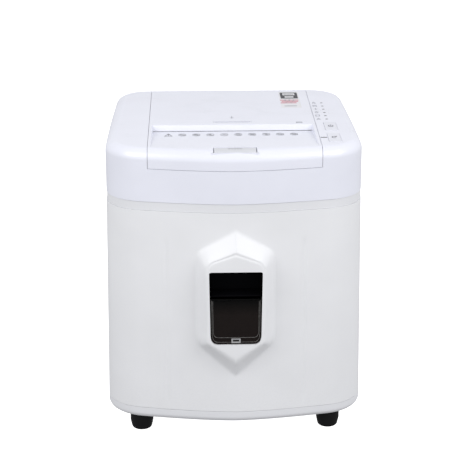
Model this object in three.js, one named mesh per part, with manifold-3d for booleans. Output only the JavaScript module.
// Auto-feed paper shredder: a cabinet on four feet, a pull-out waste bin with a window, and a head that
// holds the paper tray, feed rollers, cutters, gear train and motor under a hinged lid.
// Millimetres. +X is the user's right, +Y the back, +Z up; the origin is the middle of the footprint.
import * as THREE from "three";
import { mergeVertices } from "three/addons/utils/BufferGeometryUtils.js";
import { ConvexGeometry } from "three/addons/geometries/ConvexGeometry.js";
import Module from "manifold-3d";

const wasm = await Module();
wasm.setup();

// ---------------------------------------------------------------- driving dimensions
const FRONT = -177; // front face of the body on the centre line
const BACK = 193; // back face
const BOW = { depth: 17, at: 120, power: 1.5 }; // the front falls back by depth at x = at
const BOW_END = 136; // where the bow meets the front corner
const HALF_WIDTH = 184; // widest place of the head
const FLARE = { from: 122, by: 4.4 }; // outside x = from, the cabinet widens by this much down to its foot
const BACK_HALF_WIDTH = 178; // half width where the back corner starts
const BACK_CORNER = 50; // radius of the back corners
const WALL = 3; // moulded walls
const GAP = 0.4; // between pieces that are fastened together
const SEAM = 0.8; // between covers

const Z = {
  baseLow: 25, baseTop: 42, // base tray
  binLow: 42.8, binTop: 347.5, // bin front and the cabinet's panels
  frameLow: 348.3, frameTop: 360.7, // frame that the head stands on
  headLow: 361.2, top: 437, // head
  flap: 409.6, // lower edge of the lid's front flap
};
const EDGE = 16; // radius of the head's upper edge
const LID = { half: 122.4, back: 176.5 };
const LID_AXIS = { y: 171, z: 430.5 };
const NIP_Y = -37.5; // where the paper goes down between the rollers and the cutters
const CUTTER = { z: 345, apart: 36, r: 20, core: 13, shaft: 7, pitch: 16, thick: 7.2 };
const FEED = { z: 388, apart: 34, r: 12, core: 6.5, shaft: 4 };
const MODULE = 2; // all gears
const TEETH = {
  cutter: 18, final: 30, pinion: 10, reduction: 27, motor: 9, takeoff: 12, idler: 12, feed: 17,
};
const PLATE_X = { in: 116.5, out: 119.5 }; // the mechanism's side plates
const MOTOR_ANGLE = THREE.MathUtils.degToRad(-25); // from the reduction gear's axis to the motor's

// ---------------------------------------------------------------- finishes
const finish = (color, roughness, metalness = 0, opacity = 1) =>
  new THREE.MeshStandardMaterial({ color, roughness, metalness, opacity, transparent: opacity < 1 });
const white = finish(0xf1f2f6, 0.42);
const offWhite = finish(0xe6e7ea, 0.5);
const black = finish(0x17171a, 0.55);
const darkGrey = finish(0x3a3b3f, 0.6);
const smoked = finish(0x2a2522, 0.12, 0, 0.55);
const clear = finish(0xd8dde2, 0.2, 0, 0.6);
const steel = finish(0xa9acb0, 0.35, 0.9);
const rubber = finish(0x1a1a1a, 0.85);
const nylon = finish(0xe9e4d6, 0.55);
const brass = finish(0xb08d4a, 0.35, 0.9);
const board = finish(0x1f5a38, 0.5);

// ---------------------------------------------------------------- solids
const part = new THREE.Group();

// A closed geometry as a solid that can be joined and cut.
function solid(geometry) {
  const bare = geometry.index ? geometry.toNonIndexed() : geometry.clone();
  bare.deleteAttribute("normal");
  bare.deleteAttribute("uv");
  const merged = mergeVertices(bare, 1e-4);
  const triVerts = new Uint32Array(merged.index.array);
  return new wasm.Manifold(
    new wasm.Mesh({ numProp: 3, vertProperties: merged.attributes.position.array, triVerts }),
  );
}
const join = (first, ...rest) => rest.reduce((a, b) => a.add(b), first);
const cut = (first, ...rest) => rest.reduce((a, b) => a.subtract(b), first);
const meet = (a, b) => a.intersect(b);

function piece(name, shape, material) {
  const mesh = shape.getMesh();
  const geometry = new THREE.BufferGeometry();
  geometry.setAttribute("position", new THREE.BufferAttribute(mesh.vertProperties, 3));
  geometry.setIndex(new THREE.BufferAttribute(mesh.triVerts, 1));
  geometry.computeVertexNormals();
  const made = new THREE.Mesh(geometry, material);
  made.name = name;
  part.add(made);
  return made;
}

function block(x0, x1, y0, y1, z0, z1) {
  const box = new THREE.BoxGeometry(x1 - x0, y1 - y0, z1 - z0);
  return solid(box.translate((x0 + x1) / 2, (y0 + y1) / 2, (z0 + z1) / 2));
}

// A flat outline of [u, v] points, with holes, as a shape.
function flat(points, holes = []) {
  const shape = new THREE.Shape(points.map(([u, v]) => new THREE.Vector2(u, v)));
  for (const hole of holes) shape.holes.push(new THREE.Path(hole.map(([u, v]) => new THREE.Vector2(u, v))));
  return shape;
}
const plain = (depth) => ({ depth, bevelEnabled: false, steps: 1 });
// Prisms: alongZ takes (x, y) outlines, alongX (y, z) outlines and alongY (x, z) outlines.
const alongZ = (points, z0, z1, holes) =>
  solid(new THREE.ExtrudeGeometry(flat(points, holes), plain(z1 - z0)).translate(0, 0, z0));
const YZ_TO_X = new THREE.Matrix4().set(0, 0, 1, 0, 1, 0, 0, 0, 0, 1, 0, 0, 0, 0, 0, 1);
const XZ_TO_Y = new THREE.Matrix4().set(1, 0, 0, 0, 0, 0, -1, 0, 0, 1, 0, 0, 0, 0, 0, 1);
function alongX(points, x0, x1, holes) {
  const prism = new THREE.ExtrudeGeometry(flat(points, holes), plain(x1 - x0));
  return solid(prism.applyMatrix4(YZ_TO_X).translate(x0, 0, 0));
}
function alongY(points, y0, y1, holes) {
  const prism = new THREE.ExtrudeGeometry(flat(points, holes), plain(y1 - y0));
  return solid(prism.applyMatrix4(XZ_TO_Y).translate(0, y1, 0));
}

const circle = (u, v, r, sides) =>
  Array.from({ length: sides }, (_, i) => {
    const a = (2 * Math.PI * i) / sides;
    return [u + r * Math.cos(a), v + r * Math.sin(a)];
  });
const rod = (x0, x1, y, z, r, sides = 16) => alongX(circle(y, z, r, sides), x0, x1);
// A turned piece on an axis along X: profile is [x, radius] pairs that start and end on the axis.
function turned(profile, y, z, sides) {
  const lathe = new THREE.LatheGeometry(profile.map(([x, r]) => new THREE.Vector2(r, x)), sides);
  return solid(lathe.rotateZ(-Math.PI / 2).translate(0, y, z));
}
// A turned piece on a vertical axis: profile is [radius, z] pairs, from the axis at the bottom to the top.
function standing(profile, x, y, sides) {
  const lathe = new THREE.LatheGeometry(profile.map(([r, z]) => new THREE.Vector2(r, z)), sides);
  return solid(lathe.rotateX(Math.PI / 2).translate(x, y, 0));
}

// ---------------------------------------------------------------- the body's plan outline
const frontY = (x) => FRONT + BOW.depth * (Math.abs(x) / BOW.at) ** BOW.power;

// The right half of the plan outline, from the front's centre line to the back's, as [x, y] points.
function halfOutline() {
  const points = [];
  const bowSteps = 6;
  for (let i = 0; i <= bowSteps; i++) {
    const x = (BOW_END * i) / bowSteps;
    points.push([x, frontY(x)]);
  }
  const slope = Math.atan((BOW.depth * BOW.power * (BOW_END / BOW.at) ** (BOW.power - 1)) / BOW.at);
  const corner = (HALF_WIDTH - BOW_END) / (1 - Math.sin(slope));
  const [cx, cy] = [HALF_WIDTH - corner, frontY(BOW_END) + corner * Math.cos(slope)];
  const cornerSteps = 5;
  for (let i = 1; i <= cornerSteps; i++) {
    const a = slope - Math.PI / 2 + ((Math.PI / 2 - slope) * i) / cornerSteps;
    points.push([cx + corner * Math.cos(a), cy + corner * Math.sin(a)]);
  }
  const backStart = BACK - BACK_CORNER;
  points.push([HALF_WIDTH - 0.8, -20], [BACK_HALF_WIDTH + 2.2, 70]);
  const backSteps = 5;
  for (let i = 0; i <= backSteps; i++) {
    const a = ((Math.PI / 2) * i) / backSteps;
    points.push([
      BACK_HALF_WIDTH - BACK_CORNER + BACK_CORNER * Math.cos(a),
      backStart + BACK_CORNER * Math.sin(a),
    ]);
  }
  return points;
}
// The whole outline, moved in by inset along each point's normal.
function outline(inset = 0) {
  const right = halfOutline();
  const left = right.slice(1).reverse().map(([x, y]) => [-x, y]);
  const ring = [...right, ...left];
  return ring.map(([x, y], i) => {
    const [ax, ay] = ring[(i + ring.length - 1) % ring.length];
    const [bx, by] = ring[(i + 1) % ring.length];
    const length = Math.hypot(bx - ax, by - ay);
    return [x - (inset * (by - ay)) / length, y + (inset * (bx - ax)) / length];
  });
}
// A block with the body's outline whose upper or lower edge is rounded.
function bodyBlock(inset, z0, z1, round, segments, roundTop) {
  const settings = {
    depth: z1 - z0, steps: 1, bevelEnabled: true, bevelSegments: segments,
    bevelSize: round, bevelThickness: round, bevelOffset: -round,
  };
  const geometry = new THREE.ExtrudeGeometry(flat(outline(inset)), settings);
  geometry.translate(0, 0, roundTop ? z1 - round - (z1 - z0) : z0 + round);
  const far = 400;
  const [low, high] = roundTop ? [z0, z1 + far] : [z0 - far, z1];
  const keep = block(-far, far, -far, far, low, high);
  return meet(solid(geometry), keep);
}
// A wall that follows the outline between two heights, kept between y0 and y1.
function wall(inset, thick, z0, z1, y0, y1) {
  const ring = alongZ(outline(inset), z0, z1, [outline(inset + thick).reverse()]);
  const wide = HALF_WIDTH + 10;
  return meet(ring, block(-wide, wide, y0, y1, z0 - 1, z1 + 1));
}

// A cover of the cabinet with its sides drawn outwards, from nothing at the head to FLARE.by at the foot.
function flared(shape) {
  const mesh = shape.getMesh();
  const at = mesh.vertProperties;
  for (let i = 0; i < at.length; i += 3) {
    const outside = Math.max(0, Math.abs(at[i]) - FLARE.from) / (HALF_WIDTH - FLARE.from);
    const down = (Z.frameTop - at[i + 2]) / (Z.frameTop - Z.baseLow);
    at[i] += Math.sign(at[i]) * FLARE.by * outside * down;
  }
  return new wasm.Manifold(mesh);
}

// ---------------------------------------------------------------- cabinet
const SIDE_FROM = -107.2; // the bin front wraps the corners as far back as this
const SIDE_TO = BACK - BACK_CORNER; // the back panel wraps its corners from here
const FOOT = { x: 138.7, yFront: -132, yBack: 135 };

function makeBaseTray() {
  const rim = 4;
  const floor = 34;
  const shell = cut(
    bodyBlock(0, Z.baseLow, Z.baseTop, 8, 2, false),
    alongZ(outline(rim), floor, Z.baseTop + 1),
  );
  const glides = [-120, 120].map((x) => block(x - 4, x + 4, -135, 150, floor - 1, Z.baseTop));
  piece("base_tray", join(flared(shell), ...glides), offWhite);
}
function makeFeet() {
  const tall = Z.baseLow - 0.3;
  const profile = [[0, 0], [10.5, 0], [13.5, 2.5], [16, 11], [17, 17], [17, tall], [0, tall]];
  for (const [end, y] of [["front", FOOT.yFront], ["back", FOOT.yBack]])
    for (const [side, x] of [["left", -FOOT.x], ["right", FOOT.x]])
      piece(`foot_${end}_${side}`, standing(profile, x, y, 12), rubber);
}
function makePanels() {
  const both = flared(wall(0, WALL, Z.binLow, Z.binTop, SIDE_FROM, SIDE_TO - SEAM));
  piece("side_panel_left", meet(both, block(-200, -100, -200, 200, 0, 500)), white);
  piece("side_panel_right", meet(both, block(100, 200, -200, 200, 0, 500)), white);
  piece("back_panel", flared(wall(0, WALL, Z.binLow, Z.binTop, SIDE_TO, BACK + 1)), white);
}
function makeTopFrame() {
  piece("top_frame", flared(wall(1.2, 13, Z.frameLow, Z.frameTop, FRONT - 1, BACK + 1)), offWhite);
}

// ---------------------------------------------------------------- head
const KEY = { x0: 134.5, x1: 152.5, power: [-66, -20], reverse: [-127, -81] };
const LED = { x: 141, first: -1.9, pitch: 19.3, count: 6, half: [1.5, 1.1] };
const INLET = { x: -82, z: 392, halfX: 15, halfZ: 12 };
const ROCKER = { x: -44, z: 392, halfX: 8, halfZ: 11 };
const VENT = { x0: 8, pitch: 11, count: 9, half: 2, z0: 376, z1: 408 };

function headBlank() {
  const outer = bodyBlock(0, Z.headLow, Z.top, EDGE, 4, true);
  const inner = bodyBlock(WALL, Z.headLow - 5, Z.top - WALL, EDGE - WALL, 2, true);
  return { outer, inner };
}
function makeHeadShell({ outer, inner }) {
  const aperture = block(-LID.half - 0.5, LID.half + 0.5, -250, LID.back + 2.8, Z.flap - 0.5, Z.top + 5);
  const keyHoles = [KEY.power, KEY.reverse].map(([y0, y1]) =>
    block(KEY.x0 - GAP, KEY.x1 + GAP, y0 - GAP, y1 + GAP, Z.top - 10, Z.top + 5));
  const ledHoles = Array.from({ length: LED.count }, (_, i) => {
    const y = LED.first + i * LED.pitch;
    return block(LED.x - LED.half[0] - GAP, LED.x + LED.half[0] + GAP,
      y - LED.half[1] - GAP, y + LED.half[1] + GAP, Z.top - 10, Z.top + 5);
  });
  const backHoles = [INLET, ROCKER].map(({ x, z, halfX, halfZ }) =>
    block(x - halfX - GAP, x + halfX + GAP, BACK - 12, BACK + 5, z - halfZ - GAP, z + halfZ + GAP));
  const vents = Array.from({ length: VENT.count }, (_, i) => {
    const x = VENT.x0 + i * VENT.pitch;
    return block(x - VENT.half, x + VENT.half, BACK - 12, BACK + 5, VENT.z0, VENT.z1);
  });
  piece("head_shell", cut(outer, inner, aperture, ...keyHoles, ...ledHoles, ...backHoles, ...vents), white);
}
function makeHeadDeck() {
  const low = Z.headLow + GAP;
  const opening = block(-162, 150, -96, 108, low - 1, low + 4);
  piece("head_deck", cut(alongZ(outline(WALL + 0.5), low, low + 2.4), opening), darkGrey);
}
// The tray that the paper stack lies in, with a hole over the feed rollers and ears for the lid's pins.
const TRAY = { halfX: 114, y0: -148, y1: 158, floor: 396.5, rim: 421, wall: 2 };
function makePaperTray() {
  const { halfX, y0, y1, floor, rim, wall: t } = TRAY;
  const outer = block(-halfX - t, halfX + t, y0 - t, y1 + t, floor, rim);
  const room = block(-halfX, halfX, y0, y1, floor + 2.5, rim + 1);
  const rollerHole = block(-110, 110, NIP_Y - 32, NIP_Y + 32, floor - 1, floor + 4);
  const ears = [-1, 1].flatMap((side) => [92, 110].map((x) => {
    const [x0, x1] = side < 0 ? [-x - 2, -x + 2] : [x - 2, x + 2];
    const foot = alongX([
      [y1 + t - 0.5, rim - 9], [LID_AXIS.y + 2.6, rim], [LID_AXIS.y + 2.6, LID_AXIS.z],
      [LID_AXIS.y - 2.6, LID_AXIS.z], [LID_AXIS.y - 2.6, rim], [y1 + t - 0.5, rim],
    ], x0, x1);
    const eye = rod(x0, x1, LID_AXIS.y, LID_AXIS.z, 3.1, 12);
    return cut(join(foot, eye), rod(x0 - 1, x1 + 1, LID_AXIS.y, LID_AXIS.z, 1.9, 12));
  }));
  const flange = cut(
    block(-halfX - 6, halfX + 6, y0 - 6, y1 + 4, rim - 2, rim),
    block(-halfX, halfX, y0, y1, rim - 3, rim + 1),
  );
  piece("paper_tray", join(cut(outer, room, rollerHole), flange, ...ears), darkGrey);
}
function makeHingePins() {
  for (const [side, x0, x1] of [["left", -113, -89], ["right", 89, 113]])
    piece(`hinge_pin_${side}`, rod(x0, x1, LID_AXIS.y, LID_AXIS.z, 1.5, 12), steel);
}
function makeBoards() {
  const control = join(
    block(127, 165, -122, 100, 421, 422.6),
    block(128, 134, -70, 80, 422, 427),
  );
  piece("control_board", control, board);
  const strip = block(LED.x - 2.5, LED.x + 2.5, LED.first - 5, LED.first + LED.pitch * 5 + 5, 430, 432.5);
  const posts = Array.from({ length: LED.count }, (_, i) => {
    const y = LED.first + i * LED.pitch;
    const [dx, dy] = LED.half;
    return block(LED.x - dx, LED.x + dx, y - dy, y + dy, 432, Z.top + 0.1);
  });
  piece("indicator_light_pipe", join(strip, ...posts), clear);
  const power = join(
    block(-20, 100, 114, 168, 367, 368.6),
    rod(-10, 14, 150, 377, 9, 12),
    block(30, 58, 126, 160, 368, 388),
    block(68, 90, 124, 150, 368, 380),
  );
  piece("power_board", power, board);
}
function makeInlet() {
  const { x, z, halfX, halfZ } = INLET;
  const body = block(x - halfX, x + halfX, BACK - 24, BACK - 0.2, z - halfZ, z + halfZ);
  const socket = alongY(
    [[x - 12, z - 8], [x + 12, z - 8], [x + 12, z + 4], [x + 8, z + 8], [x - 8, z + 8], [x - 12, z + 4]],
    BACK - 20, BACK + 2,
  );
  const pins = [[-7, -2], [0, 2], [7, -2]].map(([dx, dz]) =>
    block(x + dx - 1, x + dx + 1, BACK - 21, BACK - 6, z + dz - 2, z + dz + 2));
  piece("mains_inlet", join(cut(body, socket), ...pins), black);
}
function makeRocker() {
  const { x, z, halfX, halfZ } = ROCKER;
  const body = block(x - halfX, x + halfX, BACK - 18, BACK - 0.2, z - halfZ, z + halfZ);
  const well = block(x - halfX + 1.5, x + halfX - 1.5, BACK - 14, BACK + 2, z - halfZ + 1.5, z + halfZ - 1.5);
  piece("rocker_switch_body", cut(body, well), black);
  // Outline in (y, z): a shallow V whose upper half is pressed in.
  const pivotY = BACK - 6;
  const rocker = alongX([
    [pivotY - 3, z - 5], [pivotY + 4.4, z - 8.6], [pivotY + 3.4, z],
    [pivotY + 1.8, z + 8.9], [pivotY - 3, z + 5],
  ], x - halfX + 1.9, x + halfX - 1.9);
  piece("mains_rocker", rocker, black);
}
function makeKeys() {
  for (const [name, [y0, y1]] of [["power_key", KEY.power], ["reverse_key", KEY.reverse]]) {
    const middle = [(KEY.x0 + KEY.x1) / 2, (y0 + y1) / 2];
    piece(name, join(
      block(KEY.x0, KEY.x1, y0, y1, 432, Z.top + 0.5),
      block(KEY.x0 - 2, KEY.x1 + 2, y0 - 2, y1 + 2, 431, 433),
      block(middle[0] - 3, middle[0] + 3, middle[1] - 3, middle[1] + 3, 424.2, 432),
    ), white);
  }
}

// ---------------------------------------------------------------- lid
const SLOT = { half: 111, y0: -40.5, y1: -34.5 }; // manual feed slot
const CARD = { half: 26.6, y: -14, halfY: 2.5 }; // card slot
// The sunk area before the slot: its floor falls from the front to the slot, and its walls lean outwards.
const DISH = { half: 109, lean: 5, front: -150, foot: -34.5, back: -29.5, deep: 8 };
const LATCH = { half: 29.5, y0: -168, y1: -151 };

// The solid that hollows the sunk area out, grown by extra on every side.
function dish(extra) {
  const { half, lean, front, foot, back, deep } = DISH;
  const [floor, over] = [Z.top - deep - extra, Z.top + deep];
  const profile = [
    [half, front - extra * 2, Z.top + 0.2], [half, SLOT.y0 - extra, floor], [half, foot + extra, floor],
    [half + lean, back + extra, Z.top], [half + lean * 2, back * 2 - foot + extra, over],
    [half, front - extra * 2, over],
  ];
  return solid(new ConvexGeometry([-1, 1].flatMap((side) =>
    profile.map(([x, y, z]) => new THREE.Vector3(side * (x + extra), y, z)))));
}
// A block round the card slot, wider than it by margin on every side.
function around({ half, y, halfY }, margin, z0, z1) {
  return block(-half - margin, half + margin, y - halfY - margin, y + halfY + margin, z0, z1);
}
function makeLid({ outer, inner }) {
  const zone = block(-LID.half, LID.half, -250, LID.back, Z.flap, Z.top + 5);
  const pocketY = [LATCH.y0 - 1.6, LATCH.y1 + 1];
  const wide = LATCH.half + 5;
  const pocketWall = block(-wide, wide, pocketY[0] - 1.6, pocketY[1] + 1.6, 422.6, Z.top + 5);
  const hollow = cut(inner, dish(WALL), pocketWall);
  const corner = [[LID.back - 2, Z.top + 1], [LID.back + 1, Z.top - 2], [LID.back + 1, Z.top + 1]];
  const chamfer = alongX(corner, -130, 130);
  const slot = block(-SLOT.half, SLOT.half, SLOT.y0, SLOT.y1, 400, 450);
  const cardHole = around(CARD, 1.8, 400, 450);
  const pocket = block(-LATCH.half - 3.5, LATCH.half + 3.5, pocketY[0], pocketY[1], 425, 450);
  const cover = cut(meet(cut(outer, hollow), zone), dish(0), chamfer, slot, cardHole, pocket);
  piece("lid_cover", cover, white);

  const low = 423.4;
  const panel = block(-119, 119, -147.6, 163, low, low + 2.4);
  const knuckles = [-1, 1].map((side) => {
    const [x0, x1] = side < 0 ? [-107.5, -94.5] : [94.5, 107.5];
    const arm = block(x0, x1, 161, LID_AXIS.y, LID_AXIS.z - 3.1, LID_AXIS.z + 0.5);
    const barrel = rod(x0, x1, LID_AXIS.y, LID_AXIS.z, 3.1, 12);
    const step = block(x0, x1, 158, 163, low, LID_AXIS.z);
    return cut(join(step, arm, barrel), rod(x0 - 1, x1 + 1, LID_AXIS.y, LID_AXIS.z, 1.9, 12));
  });
  const cardNotch = block(-31.5, 31.5, SLOT.y1 - 1, -8.5, 400, 430);
  piece("lid_liner", cut(join(panel, ...knuckles), slot, cardNotch), offWhite);

  piece("card_slot_trim", cut(around(CARD, 1.4, 424, Z.top + 0.2), around(CARD, 0, 420, 440)), darkGrey);

  const latch = block(-LATCH.half, LATCH.half, LATCH.y0, LATCH.y1, 428.6, 440);
  const cap = meet(outer.translate([0, 0, -0.6]), latch);
  piece("lid_latch_button", cap, white);
}
// The sprung plate under the lid that presses the stack on to the rollers.
const PRESS = { half: 108, y0: -29, y1: 140, z0: 401.2, z1: 403.8 };
function makePress() {
  const plate = block(-PRESS.half, PRESS.half, PRESS.y0, PRESS.y1, PRESS.z0, PRESS.z1);
  const notch = block(-32, 32, PRESS.y0 - 1, -8, PRESS.z0 - 1, PRESS.z1 + 1);
  const ribs = [-70, 70].map((x) => block(x - 1.5, x + 1.5, 0, 130, PRESS.z1 - 0.5, PRESS.z1 + 3));
  piece("press_plate", join(cut(plate, notch), ...ribs), offWhite);
  for (const [side, x] of [["left", -40], ["right", 40]])
    piece(`press_spring_${side}`, coil(x, 60), steel);
}
// A compression spring between the press plate and the lid's liner.
function coil(x, y) {
  const wire = 0.7;
  const [z0, z1] = [PRESS.z1 + wire + 0.3, 423.4 - wire - 0.3];
  const turns = 3.5;
  const stepsPerTurn = 8;
  const points = Array.from({ length: turns * stepsPerTurn + 1 }, (_, i) => {
    const a = (2 * Math.PI * i) / stepsPerTurn;
    const z = z0 + ((z1 - z0) * i) / (turns * stepsPerTurn);
    return new THREE.Vector3(x + 6 * Math.cos(a), y + 6 * Math.sin(a), z);
  });
  const path = new THREE.CatmullRomCurve3(points);
  return solid(new THREE.ExtrudeGeometry(flat(circle(0, 0, wire, 5)), {
    steps: turns * stepsPerTurn, bevelEnabled: false, extrudePath: path,
  }));
}

// ---------------------------------------------------------------- mechanism
const GEAR_X = { cutter: [-131, -122], final: [-144, -133], reduction: [-157, -146.5], feed: [122.5, 130.5] };
const axis = {
  front: { y: NIP_Y - CUTTER.apart / 2, z: CUTTER.z },
  rear: { y: NIP_Y + CUTTER.apart / 2, z: CUTTER.z },
  feedFront: { y: NIP_Y - FEED.apart / 2, z: FEED.z },
  feedRear: { y: NIP_Y + FEED.apart / 2, z: FEED.z },
};
const pitchRadius = (teeth) => (MODULE * teeth) / 2;
const away = (from, angle, distance) => ({
  y: from.y + distance * Math.cos(angle), z: from.z + distance * Math.sin(angle),
});
axis.reduction = away(axis.rear, 0, pitchRadius(TEETH.final) + pitchRadius(TEETH.pinion));
axis.motor = away(axis.reduction, MOTOR_ANGLE, pitchRadius(TEETH.reduction) + pitchRadius(TEETH.motor));
// The idler touches the take-off gear on the rear cutter and the rear feed roller's gear.
axis.idler = (() => {
  const a = pitchRadius(TEETH.takeoff) + pitchRadius(TEETH.idler);
  const b = pitchRadius(TEETH.feed) + pitchRadius(TEETH.idler);
  const d = Math.hypot(axis.feedRear.y - axis.rear.y, axis.feedRear.z - axis.rear.z);
  const base = Math.atan2(axis.feedRear.z - axis.rear.z, axis.feedRear.y - axis.rear.y);
  return away(axis.rear, base - Math.acos((a * a + d * d - b * b) / (2 * a * d)), a);
})();
const angleTo = (a, b) => Math.atan2(b.z - a.z, b.y - a.y);
// The turn of a gear that meshes with another: the other's phase and teeth, own teeth, and the angle
// from the other to this one.
const meshed = (other, teeth, own, angle) =>
  angle + Math.PI - ((other - angle) * teeth) / own - Math.PI / own;

// Straight-sided teeth through three involute points, thinned for backlash.
function gearOutline(teeth, { y, z }, phase) {
  const pressure = THREE.MathUtils.degToRad(20);
  const r = pitchRadius(teeth);
  const baseR = r * Math.cos(pressure);
  const backlash = 0.35;
  const [root, tip] = [r - 1.2 * MODULE, r + 0.8 * MODULE];
  const involute = (a) => Math.tan(a) - a;
  const halfAt = (radius) => {
    const a = radius > baseR ? Math.acos(baseR / radius) : 0;
    return (Math.PI * MODULE / 2 - backlash) / 2 / r + involute(pressure) - involute(a);
  };
  const points = [];
  for (let i = 0; i < teeth; i++) {
    const middle = phase + (2 * Math.PI * i) / teeth;
    const foot = Math.min(halfAt(root), (Math.PI / teeth) * 0.92);
    for (const [radius, offset] of [[root, -foot], [tip, -halfAt(tip)], [tip, halfAt(tip)], [root, foot]])
      points.push([y + radius * Math.cos(middle + offset), z + radius * Math.sin(middle + offset)]);
  }
  return points;
}
const gear = (teeth, at, phase, [x0, x1], bore, sides = 16) =>
  alongX(gearOutline(teeth, at, phase), x0, x1, bore ? [circle(at.y, at.z, bore, sides).reverse()] : []);

const phase = { rear: 0, final: 0, takeoff: 0 };
phase.front = meshed(phase.rear, TEETH.cutter, TEETH.cutter, angleTo(axis.rear, axis.front));
phase.pinion = meshed(phase.final, TEETH.final, TEETH.pinion, angleTo(axis.rear, axis.reduction));
phase.reduction = 0;
phase.motor = meshed(phase.reduction, TEETH.reduction, TEETH.motor, MOTOR_ANGLE);
phase.idler = meshed(phase.takeoff, TEETH.takeoff, TEETH.idler, angleTo(axis.rear, axis.idler));
phase.feedRear = meshed(phase.idler, TEETH.idler, TEETH.feed, angleTo(axis.idler, axis.feedRear));
phase.feedFront = meshed(phase.feedRear, TEETH.feed, TEETH.feed, angleTo(axis.feedRear, axis.feedFront));

function makeCutter(name, at, x0, x1, firstDisc, count) {
  const profile = [[x0, 0], [x0, CUTTER.shaft], [-112, CUTTER.shaft], [-112, CUTTER.core]];
  for (let i = 0; i < count; i++) {
    const x = firstDisc + i * CUTTER.pitch;
    profile.push(
      [x - CUTTER.thick / 2, CUTTER.core], [x - CUTTER.thick / 2, CUTTER.r],
      [x + CUTTER.thick / 2, CUTTER.r], [x + CUTTER.thick / 2, CUTTER.core],
    );
  }
  profile.push([112, CUTTER.core], [112, CUTTER.shaft], [x1, CUTTER.shaft], [x1, 0]);
  piece(name, turned(profile, at.y, at.z, 10), steel);
}
function makeCutters() {
  makeCutter("front_cutter", axis.front, -132, 124, -104, 14);
  makeCutter("rear_cutter", axis.rear, -145, 131.5, -96, 13);
  for (const [end, at] of [["front", axis.front], ["rear", axis.rear]])
    for (const [side, x0, x1] of [["left", -121.3, -114.5], ["right", 114.5, 121.3]])
      piece(`${end}_bush_${side}`, alongX(circle(at.y, at.z, 10.8, 16), x0, x1,
        [circle(at.y, at.z, 8, 16).reverse()]), brass);
  const bore = CUTTER.shaft + 0.3;
  piece("front_cutter_gear", gear(TEETH.cutter, axis.front, phase.front, GEAR_X.cutter, bore), steel);
  piece("rear_cutter_gear", gear(TEETH.cutter, axis.rear, phase.rear, GEAR_X.cutter, bore), steel);
  piece("final_gear", gear(TEETH.final, axis.rear, phase.final, GEAR_X.final, bore), steel);
  piece("takeoff_gear", gear(TEETH.takeoff, axis.rear, phase.takeoff, GEAR_X.feed, bore), nylon);
}
function makeReduction() {
  const cluster = join(
    gear(TEETH.reduction, axis.reduction, phase.reduction, GEAR_X.reduction),
    gear(TEETH.pinion, axis.reduction, phase.pinion, [-146.6, GEAR_X.final[1] + 0.5]),
  );
  const bore = rod(-160, -130, axis.reduction.y, axis.reduction.z, 4.4, 12);
  piece("reduction_gear", cut(cluster, bore), nylon);
  const shaft = rod(-145.8, -104, axis.motor.y, axis.motor.z, 4, 12);
  piece("motor_shaft", join(shaft, gear(TEETH.motor, axis.motor, phase.motor, [-158, -145.6])), steel);
  const can = turned([[-112, 0], [-112, 26], [-108, 30], [34, 30], [38, 26], [38, 9], [46, 9], [46, 0]],
    axis.motor.y, axis.motor.z, 20);
  const collar = rod(-116, -111, axis.motor.y, axis.motor.z, 14, 16);
  const way = rod(-120, -103.5, axis.motor.y, axis.motor.z, 4.8, 12);
  piece("motor_can", cut(join(can, collar), way), steel);
}
function makeFeedRollers() {
  const rings = [-84, -30, 30, 84];
  const rollers = [["front", axis.feedFront, phase.feedFront], ["rear", axis.feedRear, phase.feedRear]];
  for (const [end, at, turn] of rollers) {
    const profile = [[-121, 0], [-121, FEED.shaft], [-106, FEED.shaft], [-106, FEED.core]];
    for (const x of rings)
      profile.push([x - 12, FEED.core], [x - 12, FEED.r], [x + 12, FEED.r], [x + 12, FEED.core]);
    profile.push([106, FEED.core], [106, FEED.shaft], [131.5, FEED.shaft], [131.5, 0]);
    piece(`feed_roller_${end}`, turned(profile, at.y, at.z, 12), rubber);
    piece(`feed_gear_${end}`, gear(TEETH.feed, at, turn, GEAR_X.feed, FEED.shaft + 0.3, 12), nylon);
  }
  piece("idler_gear", gear(TEETH.idler, axis.idler, phase.idler, GEAR_X.feed, 3.4, 12), nylon);
}
// The plates that carry every shaft; each has a fixed stud for a gear that turns on its own.
function makeSidePlates() {
  const { in: inner, out: outer } = PLATE_X;
  const rim = [
    [-90, 318], [-84, 312], [60, 296], [92, 296], [98, 302], [98, 392], [92, 398], [-84, 398], [-90, 392],
  ];
  const bores = [axis.front, axis.rear].map((a) => circle(a.y, a.z, 11.2, 16).reverse());
  const small = [axis.feedFront, axis.feedRear].map((a) => circle(a.y, a.z, 5, 12).reverse());
  const motorHole = circle(axis.motor.y, axis.motor.z, 5, 12).reverse();
  const left = alongX(rim, -outer, -inner, [...bores, ...small, motorHole]);
  const stud = rod(-158, -outer + 1, axis.reduction.y, axis.reduction.z, 3.9, 12);
  piece("side_plate_left", join(left, stud), steel);
  const right = alongX(rim, inner, outer, [...bores, ...small]);
  const idlerStud = rod(outer - 1, 132, axis.idler.y, axis.idler.z, 3, 12);
  piece("side_plate_right", join(right, idlerStud), steel);
  const reach = PLATE_X.in - GAP;
  piece("tie_rod", rod(-reach, reach, -80, 322, 4, 8), steel);
  for (const [end, y0, y1] of [["front", -94.6, -90.6], ["rear", 98.6, 102.6]])
    piece(`chassis_rail_${end}`, block(-170, 158, y0, y1, 364.4, 380), steel);
}
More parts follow.
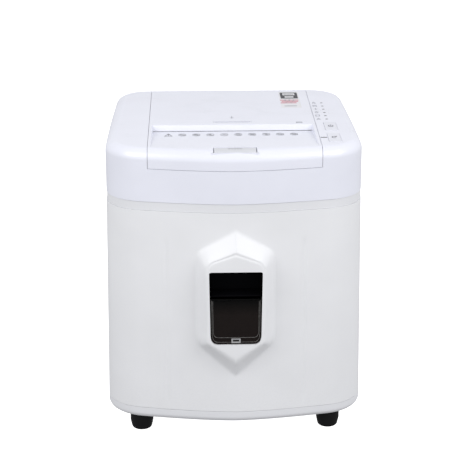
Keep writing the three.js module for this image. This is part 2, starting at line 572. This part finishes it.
function makeGuides() {
  const throat = cut(
    block(-115, 115, NIP_Y - 12, NIP_Y + 12, 367, 374.5),
    block(-112, 112, NIP_Y - 5, NIP_Y + 5, 360, 380),
  );
  piece("feed_throat", throat, black);
  const fingers = (first, count, y0, y1) => Array.from({ length: count }, (_, i) => {
    const x = first + i * CUTTER.pitch;
    return block(x - 3.4, x + 3.4, y0, y1, 341, 349);
  });
  const coreGap = CUTTER.core + 1.5;
  const frontBar = block(-114, 114, axis.front.y - 30, axis.front.y - 23, 338, 352);
  const rearBar = block(-114, 114, axis.rear.y + 23, axis.rear.y + 30, 338, 352);
  piece("stripper_front",
    join(frontBar, ...fingers(-96, 13, axis.front.y - 24, axis.front.y - coreGap)), black);
  piece("stripper_rear",
    join(rearBar, ...fingers(-104, 14, axis.rear.y + coreGap, axis.rear.y + 24)), black);
}

// ---------------------------------------------------------------- bin
// The six-sided boss on the bin front: outer outline on the panel, inner outline on the raised face.
const BOSS_Y = -193; // raised face
const BOSS_OUTER = [[0, 326], [58, 290], [58.5, 149], [0, 97]];
const BOSS_INNER = [[0, 292.3], [36, 279], [41.5, 270], [40.5, 160], [0, 135]];
const WINDOW = [
  [-38, 263.5], [-35.5, 266], [35.5, 266], [38, 263.5], [36.5, 168], [27, 155.5], [-27, 155.5], [-36.5, 168],
];
const PANE = { top: 225, y0: -191, y1: -189, gap: 0.4 };

function bothSides(points) {
  return [...points, ...points.filter(([x]) => x > 0).map(([x, z]) => [-x, z])];
}
function boss(thinner, deeper) {
  const scale = 1 - thinner / 50;
  const middle = 212;
  const place = ([x, z], y) => new THREE.Vector3(x * scale, y, middle + (z - middle) * scale);
  const outer = bothSides(BOSS_OUTER).map((p) => place(p, frontY(p[0]) + 1.5 + deeper));
  const inner = bothSides(BOSS_INNER).map((p) => place(p, BOSS_Y + thinner));
  return solid(new ConvexGeometry([...outer, ...inner]));
}
function makeBinFront() {
  const strip = wall(0, WALL, Z.binLow, Z.binTop, FRONT - 1, SIDE_FROM - SEAM);
  const window = alongY(WINDOW, -200, -150);
  const shell = cut(join(strip, boss(0, 0)), boss(WALL, 8), window);
  piece("bin_front_panel", flared(shell), white);
}
function makeWindow() {
  const lower = WINDOW.filter(([, z]) => z < 200);
  const middle = 190;
  const shrunk = lower.map(([x, z]) => [x - PANE.gap * Math.sign(x), z + PANE.gap * Math.sign(middle - z)]);
  const side = shrunk[0][0] + 0.7;
  const sheet = alongY([...shrunk, [-side, PANE.top], [side, PANE.top]], PANE.y0, PANE.y1);
  piece("window_pane", sheet, smoked);
  const clip = join(
    block(-6.6, 6.6, PANE.y0 - 1.6, PANE.y0 - 0.4, 158.2, 165.2),
    block(-4, 4, PANE.y0 - 1.9, PANE.y0 - 1.2, 160.5, 163),
  );
  piece("window_clip", clip, steel);
}
// The black pocket behind the open upper part of the window, where fingers pull the bin.
const GRIP = { half: 40.4, z0: 226.5, z1: 268.2, y0: -185.4, y1: -155 };
function makeGripPocket() {
  const { half, z0, z1, y0, y1 } = GRIP;
  const t = 1.6;
  piece("grip_pocket", cut(
    block(-half, half, y0, y1, z0, z1),
    block(-half + t, half - t, y0 - 1, y1 - t, z0 + t, z1 - t),
  ), black);
}
const BUCKET = { z0: 43, z1: 290, yFront: -154.5, yBack: 172, half: 164, t: 2.6 };
function makeBucket() {
  const { z0, z1, yFront, yBack, half, t } = BUCKET;
  // Corners are cut so that the bucket fits inside the rounded cabinet.
  const plan = (d, low) => [
    [-half + d + low, yBack - 40], [-half + 36 + d + low, yBack - d - low],
    [half - 36 - d - low, yBack - d - low], [half - d - low, yBack - 40], [half - d - low, -108],
    [half - 44 - d, yFront + d], [-half + 44 + d, yFront + d], [-half + d + low, -108],
  ].reverse();
  const draft = (d, low, a, b) => solid(new ConvexGeometry([
    ...plan(d, low + 5).map(([x, y]) => new THREE.Vector3(x, y, a)),
    ...plan(d, low).map(([x, y]) => new THREE.Vector3(x, y, b)),
  ]));
  const sight = block(-36, 36, yFront - 5, yFront + 8, 158, 222);
  piece("bin_bucket", cut(draft(0, 0, z0, z1), draft(t, t * 0.4, z0 + t, z1 + 1), sight), darkGrey);
}

const blank = headBlank();
makeBaseTray();
makeFeet();
makePanels();
makeTopFrame();
makeHeadShell(blank);
makeHeadDeck();
makePaperTray();
makeHingePins();
makeBoards();
makeInlet();
makeRocker();
makeKeys();
makeLid(blank);
makePress();
makeCutters();
makeReduction();
makeFeedRollers();
makeSidePlates();
makeGuides();
makeBinFront();
makeWindow();
makeGripPocket();
makeBucket();

export default part;
